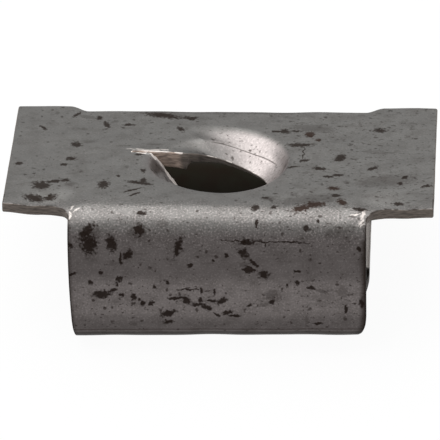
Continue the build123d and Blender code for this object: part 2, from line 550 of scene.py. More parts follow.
        corner = self.leg_corner - self.edge
        straight = np.linspace(self.hole_path + hole_half, self.path_end - self.leg_corner, 8)
        bend = np.radians(np.linspace(0, 90, 13))[1:]
        tip_path = np.concatenate([straight, straight[-1] + corner * np.sin(bend)])
        inset = np.concatenate([np.zeros(len(straight)), corner * (1 - np.cos(bend))])
        end_patch = self.band(tip_path, across, inset)
        return [leaf, *ears, web, leg, end_patch]

    def ear(self, rows: np.ndarray) -> "Patch":
        """Right ear with the root's fillet: columns from the front edge to the rear one.

        Columns round the fillet and the outer corners stand at even angles of those arcs.

        Args:
            rows: The leaf's rows, as shares of its depth.

        Returns:
            The ear's patch.
        """
        root = np.radians(np.linspace(0, 90, 12))
        root_x = self.half_body + self.root_fillet - (self.root_fillet + self.edge) * np.cos(root)
        root_y = -self.root_run + (self.root_run + self.edge) * np.sin(root)
        corner = self.ear_corner - self.edge
        flat_end = self.half_head - self.ear_corner
        flat = np.linspace(root_x[-1], flat_end, 14)[1:]
        bend = np.radians(np.linspace(0, 90, 6))[1:]
        x = np.concatenate([root_x, flat, flat_end + corner * np.sin(bend)])
        cut = np.concatenate([np.zeros(len(root) + len(flat)), corner * (1 - np.cos(bend))])
        out = np.concatenate([flat, np.full(len(bend), flat_end)])
        ahead = self.ear_ahead * ease(out, flat[0], flat[0] + self.ahead_run)
        front = np.concatenate([root_y, self.edge - ahead]) + cut
        y = front + rows[:, None] * (self.rear(x) - cut - front)
        return self.grid(np.broadcast_to(x, y.shape), y)

    def rows_of(self, path: np.ndarray, across: np.ndarray,
                inset: np.ndarray | float = 0.0) -> tuple[np.ndarray, np.ndarray]:
        """Rows across web or leg, each half as wide as the strip is there.

        Args:
            path: Lengths along the outer face.
            across: Shares from -1, the left side, to 1, the right one.
            inset: How much further in each row ends.

        Returns:
            x and y of the rows.
        """
        left, right = (self.half_width(path, side) - self.edge - inset for side in (0, 1))
        x = np.where(across < 0, left[:, None], right[:, None]) * across
        return x, np.broadcast_to(-path[:, None], x.shape)

    def band(self, path: np.ndarray, across: np.ndarray, inset: np.ndarray | float = 0.0) -> "Patch":
        """A stretch of web or leg."""
        x, y = self.rows_of(path, across, inset)
        return self.grid(x[::-1], y[::-1])


@dataclass(frozen=True)
class Patch:
    """Flat points (x, y, side of the slit) and the quads between them."""

    points: np.ndarray
    quads: np.ndarray

    def mirrored(self) -> "Patch":
        """The patch's mirror image across x = 0, still anticlockwise."""
        return Patch(self.points * [-1, 1, 1], self.quads[:, ::-1])

    @staticmethod
    def weld(patches: list["Patch"]) -> "Patch":
        """Joins patches that share their borders.

        Args:
            patches: The patches.

        Returns:
            One patch, in which points closer than about a micron are one.
        """
        offsets = np.cumsum([0] + [len(p.points) for p in patches[:-1]])
        points = np.concatenate([p.points for p in patches])
        quads = np.concatenate([p.quads + o for p, o in zip(patches, offsets)])
        # the offset keeps round millimetres off the rounding's halfway points
        keys = np.round(points[:, :2] * 1000 + 0.237).astype(np.int64)
        _, first, inverse = np.unique(keys, axis=0, return_index=True, return_inverse=True)
        quads = inverse.reshape(-1)[quads]
        return Patch(points[first], quads)

    def border(self) -> tuple[np.ndarray, np.ndarray, np.ndarray]:
        """The open edges of the patch.

        Returns:
            Start and end of each open edge, and an outward normal (x, y) for each start point.
        """
        edges = np.concatenate([self.quads[:, [k, (k + 1) % 4]] for k in range(4)])
        count = len(self.points)
        forward = edges[:, 0] * count + edges[:, 1]
        backward = edges[:, 1] * count + edges[:, 0]
        edges = edges[~np.isin(forward, backward)]
        order = np.argsort(edges[:, 0])
        start, end = edges[order].T
        before = np.empty(count, np.int64)
        before[end] = start
        along = self.points[end, :2] - self.points[start, :2]
        back = self.points[start, :2] - self.points[before[start], :2]
        unit = along / np.linalg.norm(along, axis=1)[:, None]
        unit = unit + back / np.linalg.norm(back, axis=1)[:, None]
        unit = unit / np.maximum(np.linalg.norm(unit, axis=1)[:, None], 0.2)
        return start, end, np.stack([unit[:, 1], -unit[:, 0]], -1)


class WallStep(Enum):
    """Rings of the sheared edge: how far out, as a share of the edge's roundness, and how deep,
    as a share of the sheet. A flat ring, a rolled edge, the sheared land, the torn break."""

    FLAT_TOP = (0.30, 0.0)
    ROLL_TOP = (0.72, 0.035)
    ROLL_END = (1.00, 0.14)
    LAND = (1.00, 0.42)
    BREAK = (0.93, 0.60)
    BREAK_END = (0.90, 0.86)
    ROLL_UNDER = (0.62, 0.975)
    FLAT_UNDER = (0.30, 1.0)


@dataclass(frozen=True)
class Skin:
    """The closed skin: points on the blank, and the faces between them.

    The outer face's points come first, then the inner face's, then the rings of the sheared edge.
    Each point has its place on the blank, a turn on its side of the slit, the share of the
    sheet's thickness above it, that thickness, and whether it is on the outer face's border
    or in the edge's wall.
    """

    x: np.ndarray
    y: np.ndarray
    near: np.ndarray
    through: np.ndarray
    thick: np.ndarray
    border: np.ndarray
    wall: np.ndarray
    faces: np.ndarray

    def depth(self) -> np.ndarray:
        """Depth of each point below the outer face."""
        return self.through * self.thick

    def outside(self) -> np.ndarray:
        """Whether each point lies in the outer third of the plain sheet."""
        return self.depth() < 0.3 * Folds.sheet


@dataclass
class ClipNut:
    """The clip: the blank's two faces and sheared edge, folded, pressed and laid down.

    Angles are in degrees. A pair named "along" counts down the strip from the front fold.
    """

    folds: Folds = field(default_factory=Folds)
    impression: Impression = field(default_factory=Impression)
    blank: Blank = field(default_factory=Blank)
    droop: float = 0.2
    droop_from: Pair = (6.9, 8.5)
    droop_to: Pair = (11.4, 9.0)
    droop_reach: float = 1.3
    droop_below: Pair = (-1.6, -0.4)
    twist: float = -0.4
    twist_from: Pair = (0.0, 4.0)
    lean: float = 0.15
    skew: float = 0.85
    skew_end: float = 8.2
    margin_roll: float = 0.88
    margin_from: float = 7.5
    margin_soft: float = 0.004
    margin_along: tuple[Pair, Pair] = ((13.0, 14.0), (19.5, 18.0))
    # where the painted reflection lies on the leg's right margin
    margin_light_along: tuple[Pair, Pair] = ((14.35, 14.6), (18.6, 17.6))
    margin_light_across: Pair = (7.55, 7.7)
    # where sheen is painted on the dish, and on the folds: painted sheen on the front, wear on the
    # bottom
    dish_sheen_turn: tuple[Pair, Pair] = ((18.0, 123.0), (240.0, 180.0))
    sheen_and_wear_folds: tuple[tuple[float, float, float], ...] = ((0.9, 0.75, 0.13), (9.4, 0.5, 0.25))
    wave: float = 0.02
    lip: float = 0.16
    lip_width: float = 0.2
    border_share: Pair = (0.15, 0.5)
    rim_depth: float = 0.12

    def unevenness(self, x: np.ndarray, y: np.ndarray) -> np.ndarray:
        """How far the outer face stands in from its plain form.

        The ears' front edge sags towards the root of the fold, the head is twisted a little
        about its own middle, and a few long sine waves stand for a sheet that is never quite flat.

        Args:
            x: Across the blank.
            y: Along the blank.

        Returns:
            The distance, square to the plain face.
        """
        sag = ease(np.abs(x), *self.droop_from) * ease(np.abs(x), *self.droop_to)
        sag = sag * bump(np.clip(y, 0, None) / self.droop_reach) * ease(y, *self.droop_below)
        turn = np.radians(self.twist) * x * ease(y, *self.twist_from) * y / self.blank.head_depth
        waves = np.sin(0.9 * x + 0.5 * y) * np.sin(0.7 * y - 0.35 * x + 1.0)
        waves = waves + 0.6 * np.sin(1.9 * x - 1.1 * y + 2.0) * np.sin(1.6 * y + 0.4 * x)
        return self.droop * sag + turn + self.wave * waves

    def from_flap(self, x: np.ndarray, y: np.ndarray,
                  near: np.ndarray) -> tuple[np.ndarray, np.ndarray]:
        """Distance from the impression's centre, and distance across the flap from its slit."""
        r, turn = self.impression.turn(x, y, near)
        return r, np.radians(np.clip(360.0 - turn, 0.0, 90.0)) * r

    def torn_lip(self, x: np.ndarray, y: np.ndarray, near: np.ndarray) -> np.ndarray:
        """How high the burr stands along the slit's low edge: a bell made ragged by two sines.

        Args:
            x: Across the leaf.
            y: Depth on the leaf.
            near: A turn on the wanted side of the slit for each point.

        Returns:
            The burr's height.
        """
        r, across = self.from_flap(x, y, near)
        along = ease(r, 2.5, 3.4) * ease(r, 4.6, 3.9)
        ragged = 1.0 + 0.3 * np.sin(9.0 * r) + 0.25 * np.sin(23.0 * r + 1.0)
        return self.lip * ragged * bump(across / self.lip_width) * along * (near > 270.0)

    def outer(self, x: np.ndarray, y: np.ndarray, near: np.ndarray) -> np.ndarray:
        """Outer face, in the leaf's frame: the folded strip pushed in by its depth there.

        The head leans to the right, and the web is lower at its left end than at its right one.

        Args:
            x: Across the blank.
            y: Along the blank.
            near: A turn on the wanted side of the slit for each point.

        Returns:
            Points of the face, in millimetres.
        """
        point, inward = self.folds.face(-y)
        push = self.impression.depth(x, np.maximum(y, -1.0), near) + self.unevenness(x, y)
        push = push - self.torn_lip(x, y, near)
        point = point + inward * push[..., None]
        share = ease(y, -self.skew_end, 0.0)
        rise = np.radians(self.skew) * (x + self.blank.half_body) * (1 - share)
        rise = rise - np.radians(self.lean) * x * share
        point = point + np.stack([np.zeros_like(x), rise], -1)
        return np.concatenate([x[..., None], point], -1)

    def rolled(self, x: np.ndarray, y: np.ndarray) -> np.ndarray:
        """How much the inner face slopes away along the leg's right margin, with a soft start.

        Args:
            x: Across the blank.
            y: Along the blank.

        Returns:
            What the slope takes off the thickness.
        """
        way = x - self.margin_from
        way = (way + np.sqrt(way * way + self.margin_soft)) / 2
        start, end = self.margin_along
        return self.margin_roll * way * ease(-y, *start) * ease(-y, *end)

    def place(self, x: np.ndarray, y: np.ndarray, near: np.ndarray, depth: np.ndarray) -> np.ndarray:
        """Points of the folded sheet.

        A point lies its depth below the outer face, square to that face: the cross product of
        the face's two tangents, by central differences.

        Args:
            x: Across the blank.
            y: Along the blank.
            near: A turn on the wanted side of the slit.
            depth: Below the outer face.

        Returns:
            Points in the leaf's frame, in millimetres.
        """
        d = 0.01
        along_x = self.outer(x + d, y, near) - self.outer(x - d, y, near)
        along_y = self.outer(x, y + d, near) - self.outer(x, y - d, near)
        normal = np.cross(along_x, along_y)
        normal = normal / np.linalg.norm(normal, axis=-1)[..., None]
        return self.outer(x, y, near) - normal * depth[..., None]

    def lay_down(self, points: np.ndarray) -> np.ndarray:
        """Lays the clip down on its bottom fold and its lip, against the CAD box.

        Args:
            points: Points in the leaf's frame, in millimetres.

        Returns:
            Points in the row's frame, in metres.
        """
        tilt, height = self.folds.rest()
        low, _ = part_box(NODE)
        turn = np.array([[math.cos(tilt), math.sin(tilt)], [-math.sin(tilt), math.cos(tilt)]])
        bottom = self.folds.bottom_fold
        centre = turn @ [bottom - self.folds.front_fold, height - self.folds.clip_height]
        laid = points[:, 1:] @ turn.T - centre + bottom
        return np.column_stack([points[:, 0] * MM, laid[:, 0] * MM + low.y, laid[:, 1] * MM + low.z])

    def skin(self) -> Skin:
        """The closed skin on the blank: both faces, and rings of the sheared edge between them.

        Returns:
            The skin's points and faces.
        """
        flat = Patch.weld(self.blank.patches(self.impression))
        start, end, outward = flat.border()
        x, y, near = flat.points.T
        thick = self.folds.sheet + self.impression.extra_sheet(x, y, near) - self.rolled(x, y)
        out, down = np.array([ring.value for ring in WallStep]).T
        out = out * self.blank.edge
        wall_x = x[start] + out[:, None] * outward[:, 0]
        wall_y = y[start] + out[:, None] * outward[:, 1]

        count = len(x)
        number = np.arange(2 * count + wall_x.size)
        ring_of = np.full(count, -1)
        ring_of[start] = np.arange(len(start))
        levels = 2 * count + np.arange(len(down))[:, None] * len(start) + np.arange(len(start))
        rings = np.concatenate([start[None], levels, start[None] + count])
        following = np.concatenate([end[None], levels[:, ring_of[end]], end[None] + count])
        walls = np.stack([rings[:-1], rings[1:], following[1:], following[:-1]], -1)
        return Skin(
            x=np.concatenate([x, x, wall_x.ravel()]),
            y=np.concatenate([y, y, wall_y.ravel()]),
            near=np.concatenate([near, near, np.tile(near[start], len(down))]),
            through=np.concatenate([np.zeros(count), np.ones(count), np.repeat(down, len(start))]),
            thick=np.concatenate([thick, thick, np.tile(thick[start], len(down))]),
            border=np.isin(number, start),
            wall=number >= 2 * count,
            faces=np.concatenate([flat.quads, flat.quads[:, ::-1] + count, walls.reshape(-1, 4)]),
        )

    def build(self) -> bpy.types.Object:
        """Makes the clip's mesh and writes the finish's attributes to it.

        Returns:
            The finished object.
        """
        skin = self.skin()
        mesh = bpy.data.meshes.new("clip_skin")
        points = self.place(skin.x, skin.y, skin.near, skin.depth())
        mesh.from_pydata(self.lay_down(points), [], skin.faces)
        mesh.shade_smooth()
        mesh.validate()
        for name, values in self.attributes(skin).items():
            made = mesh.attributes.new(name, "FLOAT", "POINT")
            made.data.foreach_set("value", values.astype(np.float32))
        coords = np.column_stack([skin.x, skin.y, skin.depth()]) * MM
        blank = mesh.attributes.new("blank", "FLOAT_VECTOR", "POINT")
        blank.data.foreach_set("vector", coords.astype(np.float32).ravel())
        clip = bpy.data.objects.new("clip_nut_skin", mesh)
        bpy.context.scene.collection.objects.link(clip)
        log.info("clip skin: %d points, %d faces", len(skin.x), len(skin.faces))
        return clip

    def attributes(self, skin: Skin) -> dict[str, np.ndarray]:
        """What the finish reads from the mesh, one number a point.

        Args:
            skin: The skin's points.

        Returns:
            For each name: how far the point is a sheared edge, has painted glints on its burrs, has
            painted sheen or wear, is on the dark line along an edge, has the painted reflection on the
            leg's margin, and through the sheet.
        """
        x, y, near, through = skin.x, skin.y, skin.near, skin.through
        high_side, elsewhere = self.border_share
        rim = np.where(near < 90.0, high_side, elsewhere) * skin.border
        rim = np.where(skin.wall, np.clip(1.0 - through / self.rim_depth, 0.0, 1.0), rim)
        away = np.hypot(x, y - self.impression.y)
        pierced = away < self.impression.slit_reach + 0.3
        slit = pierced & (away > self.impression.radius + 0.2)
        # painted glints: bright spots on the burrs of the slit, the hole's rim and the ears' front
        # edges
        burr_glint = rim * np.select([slit, pierced, np.abs(y) < 0.3], [1.0, 0.45, 0.3], 0.0)
        inward = self.blank.half_width(-y, 1) - x
        margin = ease(inward, 0.3, 0.18) * (y < -2.2) * skin.outside()
        return {
            "cut": skin.wall & (through > 0.03) & (through < 0.99),
            "burr_glint": np.maximum(burr_glint, self.flap_edge(x, y, near) * skin.outside()),
            "sheen_and_wear": self.sheen_and_wear(x, y, near),
            "edge_line": np.maximum(rim * np.where(pierced | (y > 1.0), 0.0, 1.0), margin),
            "painted_margin_light": self.painted_margin_light(x, y) * ~skin.outside(),
            "depth_in_sheet": through,
        }

    def painted_margin_light(self, x: np.ndarray, y: np.ndarray) -> np.ndarray:
        """Where painted reflection, a near white, lies on the leg's right margin behind the flare."""
        start, end = self.margin_light_along
        return ease(-y, *start) * ease(-y, *end) * ease(x, *self.margin_light_across)

    def flap_edge(self, x: np.ndarray, y: np.ndarray, near: np.ndarray) -> np.ndarray:
        """Painted glint: 1 along the slit's low edge, fading out over a third of a millimetre."""
        r, across = self.from_flap(x, y, near)
        return ease(across, 0.36, 0.16) * ease(r, 2.6, 2.8) * ease(r, 5.1, 4.8) * (near > 270.0)

    def sheen_and_wear(self, x: np.ndarray, y: np.ndarray, near: np.ndarray) -> np.ndarray:
        """How far the surface is painted brighter: painted sheen, and wear on the bottom fold.

        It is 1 down the dish and half that on the flap, painted sheen over their highlights, a bell
        of 0.13 over the front fold, painted sheen over its highlight, and a quarter over the bottom
        one, polished where the die slid.

        Args:
            x: Across the blank.
            y: Along the blank.
            near: A turn on the wanted side of the slit for each point.

        Returns:
            A share from 0 to 1.
        """
        depth = self.impression.depth(x, np.maximum(y, -1.0), near) * (y > -0.5)
        _, turn = self.impression.turn(x, y, near)
        start, end = self.dish_sheen_turn
        dish_sheen = ease(depth, 0.0, 0.22) * ease(turn, *start) * ease(turn, *end)
        flap = 0.5 * ease(depth, 0.0, 0.2) * ease(turn, 270.0, 320.0)
        folds = sum(share * bump((-y - path) / width) for path, width, share in self.sheen_and_wear_folds)
        return np.clip(dish_sheen + flap + folds, 0.0, 1.0)


# --- finish ----------------------------------------------------------------------------------


def node(tree: Tree, kind: str, inputs: tuple | dict = (), output: int | str = 0,
         **settings: object) -> Socket:
    """Adds one node.

    Args:
        tree: Where it goes.
        kind: The node's type, without "ShaderNode".
        inputs: A socket to link, a value or a hex colour for each input: in the inputs' order,
            or for an input's name or number.
        output: The output to give back.
        **settings: The node's own settings.

    Returns:
        That output socket.
    """
    made = tree.nodes.new("ShaderNode" + kind)
    for name, value in settings.items():
        setattr(made, name, value)
    for key, value in inputs.items() if isinstance(inputs, dict) else enumerate(inputs):
        if isinstance(value, Socket):
            tree.links.new(value, made.inputs[key])
        else:
            made.inputs[key].default_value = linear(value) if isinstance(value, str) else value
    return made.outputs[output]


# Settings of the nodes that the finish uses most.
TIMES = {"operation": "MULTIPLY"}
TIMES_PLUS = {"operation": "MULTIPLY_ADD"}
PLUS = {"operation": "ADD"}
LESS = {"operation": "SUBTRACT"}
LARGER = {"operation": "MAXIMUM"}
SOFT = {"interpolation_type": "SMOOTHSTEP"}
PAINT = {"data_type": "RGBA"}


class Stain(Enum):
    """Kinds of mark on the outer face."""

    FILM = "thin grey film"
    RUST = "brown rust"
    OXIDE = "dark oxide"
    # painted glints and highlights, with some real scuffs: the flap's lit edge and the ears' roots
    GLINT_AND_SCUFF = "bright scuff"


@dataclass(frozen=True)
class Mark:
    """A mark: a stain, a scratch, or a bright mark that is partly scuffed and partly a painted glint.

    It is an ellipse on the blank, in millimetres, leaning in degrees.
    """

    kind: Stain
    x: float
    y: float
    half_length: float
    half_width: float
    lean: float = 0.0


@dataclass(frozen=True)
class Field:
    """A part of the sheet and its marks, which sit there stretched and then shifted."""

    marks: dict[Stain, tuple[tuple[float, ...], ...]]
    stretch: Pair = (1.0, 1.0)
    shift: Pair = (0.0, 0.0)

    def seated(self) -> list[Mark]:
        """Puts the marks in their places.

        Returns:
            The marks, each centre multiplied by the stretch and moved by the shift.
        """
        return [
            Mark(kind, x * self.stretch[0] + self.shift[0], y * self.stretch[1] + self.shift[1], *rest)
            for kind, rows in self.marks.items()
            for x, y, *rest in rows
        ]


@dataclass(frozen=True)
class Hairline:
    """The fine dark line of painted shade along the crease: an arc on the blank, in millimetres."""

    y: float = 5.1
    radius: float = 3.31
    angle: float = 66.0
    reach: float = 2.4
    half_width: float = 0.05

    def centre(self) -> tuple[float, float, float]:
        """Centre of the arc's circle, in metres."""
        return 0.0, self.y * MM, 0.0

    def middle(self) -> tuple[float, float, float]:
        """Middle of the arc, in metres."""
        turn = math.radians(self.angle)
        return self.radius * math.cos(turn) * MM, (self.y + self.radius * math.sin(turn)) * MM, 0.0


CREASE = Hairline()

# A row is x, y, half length and half width in millimetres on the flat blank, and then the lean
# in degrees where the mark leans. The leaf's and the web's rows give rough places, and the
# stretch and shift set each of those two groups right. The roots' rows stay as they are.
LEAF = Field({
    Stain.OXIDE: (
        (-9.45, 2.3, 0.52, 0.54), (-8.8, 2.75, 0.46, 0.21, 15), (-8.2, 2.9, 0.28, 0.23),
        (-9.75, 1.0, 0.63, 0.41, -15), (-8.9, 1.15, 0.46, 0.29, 45), (-6.1, 2.4, 0.31, 0.57),
        (-4.25, 2.7, 0.8, 0.22, -15), (-4.0, 2.95, 0.17, 0.39), (-4.5, 1.85, 0.75, 0.08, 30),
        (-4.4, 1.35, 0.4, 0.11, 45), (-8.1, 10.55, 0.14, 0.39, -30), (-6.85, 10.2, 0.17, 0.26),
        (-6.4, 9.35, 0.18, 0.51, 15), (-5.2, 9.35, 0.34, 0.17), (-9.8, 8.9, 0.14, 0.36, 30),
        (-7.9, 7.0, 0.3, 0.39, 45), (-8.05, 5.4, 0.3, 0.26, -15), (-8.4, 4.7, 0.23, 0.19, 15),
        (-10.85, 4.7, 0.28, 0.21, 15), (-3.4, 10.45, 1.09, 0.34, -15),
        (-1.9, 10.2, 0.46, 0.26, -15), (-2.35, 8.9, 0.16, 0.39, 30), (-4.4, 6.0, 0.18, 0.31, -30),
        (-4.1, 4.1, 0.18, 0.26), (-3.6, 4.55, 0.14, 0.19), (-5.4, 3.4, 0.11, 0.19),
        (3.35, 8.7, 0.3, 0.34), (2.85, 8.7, 0.29, 0.16), (3.95, 8.75, 0.34, 0.14),
        (4.25, 7.15, 0.8, 0.26), (4.45, 6.2, 0.04, 0.95), (4.5, 5.4, 0.32, 0.16, 30),
        (3.9, 4.65, 0.4, 0.11, 15), (5.4, 4.5, 0.46, 0.19, -15), (5.9, 3.6, 0.29, 0.19, -15),
        (6.4, 3.8, 0.34, 0.17), (6.45, 5.75, 0.31, 0.54, -15), (6.35, 1.5, 0.21, 0.23, 15),
        (2.6, 1.15, 0.29, 0.14, -15), (3.1, 0.15, 0.25, 0.16, 45), (8.5, 8.9, 0.38, 0.31, -15),
        (8.25, 4.55, 0.39, 0.16, 45), (10.0, 3.6, 0.15, 0.26, -30), (9.75, 2.95, 0.15, 0.21, 15),
        (11.15, 2.7, 0.3, 0.17, 15), (9.7, 0.85, 0.34, 0.21, -15),
    ),
    Stain.RUST: (
        (4.7, 8.35, 0.31, 0.36), (5.2, 7.7, 0.21, 0.19, 15), (6.25, 2.3, 0.34, 0.26),
        (6.7, 0.75, 0.48, 0.26, -60), (4.6, 0.1, 0.63, 0.34, 30), (5.3, 0.5, 0.57, 0.39),
    ),
    Stain.FILM: (
        (-7.9, 2.45, 0.35, 0.25, 30), (-7.5, 10.3, 0.6, 0.2, -15), (-6.0, 9.7, 0.35, 0.14, 45),
        (-9.2, 10.7, 0.14, 0.25), (-7.6, 8.8, 0.22, 0.2), (-7.2, 7.3, 0.45, 0.16, 15),
        (-2.0, 8.95, 0.12, 0.2, 30), (-2.8, 7.7, 0.22, 0.16), (-5.0, 4.5, 0.14, 0.18),
        (-3.7, 7.15, 0.6, 0.14), (-5.3, 6.85, 0.6, 0.1), (4.7, 4.0, 0.2, 0.16),
        (7.3, 5.6, 0.14, 0.14), (6.9, 3.0, 0.22, 0.14, 15), (2.8, 1.1, 0.4, 0.3),
        (4.2, 1.5, 0.25, 0.25, -30), (10.0, 8.2, 0.18, 0.2), (7.8, 3.1, 0.35, 0.08),
        (7.4, 9.6, 0.1, 0.35), (9.0, 6.3, 0.5, 0.14, 15), (10.6, 6.8, 0.12, 0.2),
        (0.8, 10.95, 4.2, 0.3), (-3.2, 10.6, 2.2, 0.35, -15), (4.9, 9.1, 1.4, 0.5, -15),
        (5.0, 1.0, 2.0, 0.6, 15), (9.0, 3.2, 1.6, 0.8, 15),
    ),
    # painted highlight along the flap's edge by the slit
    Stain.GLINT_AND_SCUFF: (
        (-4.65, 6.5, 0.5, 0.05), (-4.1, 6.42, 0.45, 0.13), (-3.6, 6.45, 0.35, 0.12),
        (-3.1, 6.5, 0.3, 0.07),
    ),
}, stretch=(1.0, 1.117), shift=(-0.1, -0.351))

WEB = Field({
    Stain.OXIDE: (
        (-6.8, -2.45, 0.48, 0.64), (-6.95, -1.75, 0.63, 0.26, 45), (-5.6, -2.4, 0.28, 0.54, 15),
        (-4.7, -3.05, 0.34, 0.22, 30), (-5.1, -3.25, 0.08, 0.41), (-4.1, -1.62, 0.34, 0.36),
        (-4.0, -0.6, 0.3, 0.15, -15), (-6.2, -4.15, 0.14, 0.14), (-6.75, -4.75, 0.16, 0.16),
        (-5.2, -4.55, 0.21, 0.19, 45), (-5.35, -4.8, 0.08, 0.16), (-6.15, -5.45, 0.57, 0.25),
        (-5.55, -5.25, 0.28, 0.1, 30), (-4.45, -5.6, 0.16, 0.2), (-5.05, -5.5, 0.14, 0.08),
        (-4.1, -5.75, 0.11, 0.11), (-3.95, -6.0, 0.16, 0.2), (-3.5, -6.0, 0.17, 0.16),
        (-7.75, -4.25, 0.23, 0.08, 15), (-7.8, -2.5, 0.14, 0.16), (-2.0, -2.55, 0.71, 0.21, 75),
        (-1.35, -3.7, 0.18, 0.14, 30), (-0.1, -3.4, 0.11, 0.11, -45), (0.6, -3.05, 0.15, 0.15),
        (1.5, -2.9, 0.39, 0.26, -45), (2.05, -3.5, 0.42, 0.12, -45), (1.9, -3.85, 0.4, 0.08, -30),
        (1.75, -3.95, 0.34, 0.14, -15), (2.6, -4.2, 0.3, 0.31, -45), (1.2, -2.15, 1.2, 0.03),
        (1.7, -2.25, 0.41, 0.15), (3.1, -2.2, 1.9, 0.04), (4.4, -2.25, 0.75, 0.035),
        (2.7, -2.4, 0.03, 0.2), (-2.15, -5.65, 0.46, 0.1), (-1.6, -5.8, 0.3, 0.21, -30),
        (-1.0, -6.05, 0.48, 0.12), (-0.5, -6.25, 0.34, 0.14, -15), (-0.75, -5.2, 0.11, 0.19),
        (-1.5, -5.15, 0.63, 0.05), (-0.85, -5.75, 0.11, 0.16), (0.3, -5.85, 0.32, 0.17, 30),
        (-0.25, -5.85, 0.3, 0.08), (-0.05, -5.3, 0.07, 0.22), (-2.6, -6.6, 0.52, 0.2, 15),
        (-2.6, -7.15, 0.3, 0.14), (0.6, -6.55, 0.3, 0.14, 15), (1.05, -6.75, 0.34, 0.07),
        (0.05, -6.7, 0.23, 0.07, -15), (3.0, -5.9, 0.17, 0.16), (1.8, -6.1, 0.18, 0.1, 30),
        (-3.3, -5.0, 0.11, 0.14), (-2.6, -4.7, 0.08, 0.14), (4.4, -4.0, 0.23, 0.1),
        (4.4, -4.75, 0.14, 0.14), (3.85, -4.9, 0.1, 0.11), (5.1, -5.05, 0.23, 0.14, -15),
        (5.5, -7.3, 0.23, 0.1), (7.7, -2.6, 0.23, 0.11, -45), (7.85, -6.0, 0.14, 0.32),
        (7.0, -6.4, 0.09, 0.26), (4.87, -1.42, 0.19, 0.19), (2.1, -0.1, 0.23, 0.32),
        (2.2, -1.2, 0.09, 0.26), (5.5, -1.0, 0.11, 0.16),
    ),
    Stain.FILM: (
        (-4.2, -1.8, 0.6, 0.5), (-4.5, -7.25, 0.2, 0.14), (-2.8, -1.3, 0.3, 0.25),
        (1.5, -3.6, 0.3, 0.2), (2.5, -6.1, 0.5, 0.1, 15), (3.0, -5.5, 0.45, 0.35),
        (5.7, -5.25, 0.5, 0.1, -15), (4.9, -7.1, 0.12, 0.35), (6.8, -5.3, 0.4, 0.4),
        (6.6, -1.6, 0.9, 0.3, 15), (-6.6, -1.9, 0.6, 0.4, 30),
    ),
}, stretch=(0.99, 0.985), shift=(-0.07, -0.17))

ROOTS = Field({
    Stain.OXIDE: (
        (7.6, -0.2, 0.46, 0.19),
    ),
    # painted glints at the roots of the ears, with some real scuffs
    Stain.GLINT_AND_SCUFF: (
        (-7.75, -0.3, 0.22, 0.05, 60), (-7.8, -0.75, 0.17, 0.05, -60),
        (-7.85, -1.05, 0.25, 0.05, 75), (-7.5, -0.55, 0.2, 0.05, 30),
        (7.75, -1.35, 0.22, 0.06, 60), (7.4, -0.65, 0.25, 0.06, 15), (7.76, -0.66, 0.42, 0.1, 75),
        (7.64, -1.2, 0.36, 0.07, 60),
    ),
})

MARKS = LEAF.seated() + WEB.seated() + ROOTS.seated()


@dataclass(frozen=True)
class Places:
    """Sockets that tell the finish's layers where on the clip a point is, and its shared noises."""

    blank: Socket
    along: Socket
    web: Socket
    low_web: Socket
    front_bend: Socket
    impression: Socket
    cut: Socket
    burr_glint: Socket
    sheen_and_wear: Socket
    edge_line: Socket
    painted_margin_light: Socket
    inside: Socket
    mottle: Socket
    grain: Socket
    torn: Socket


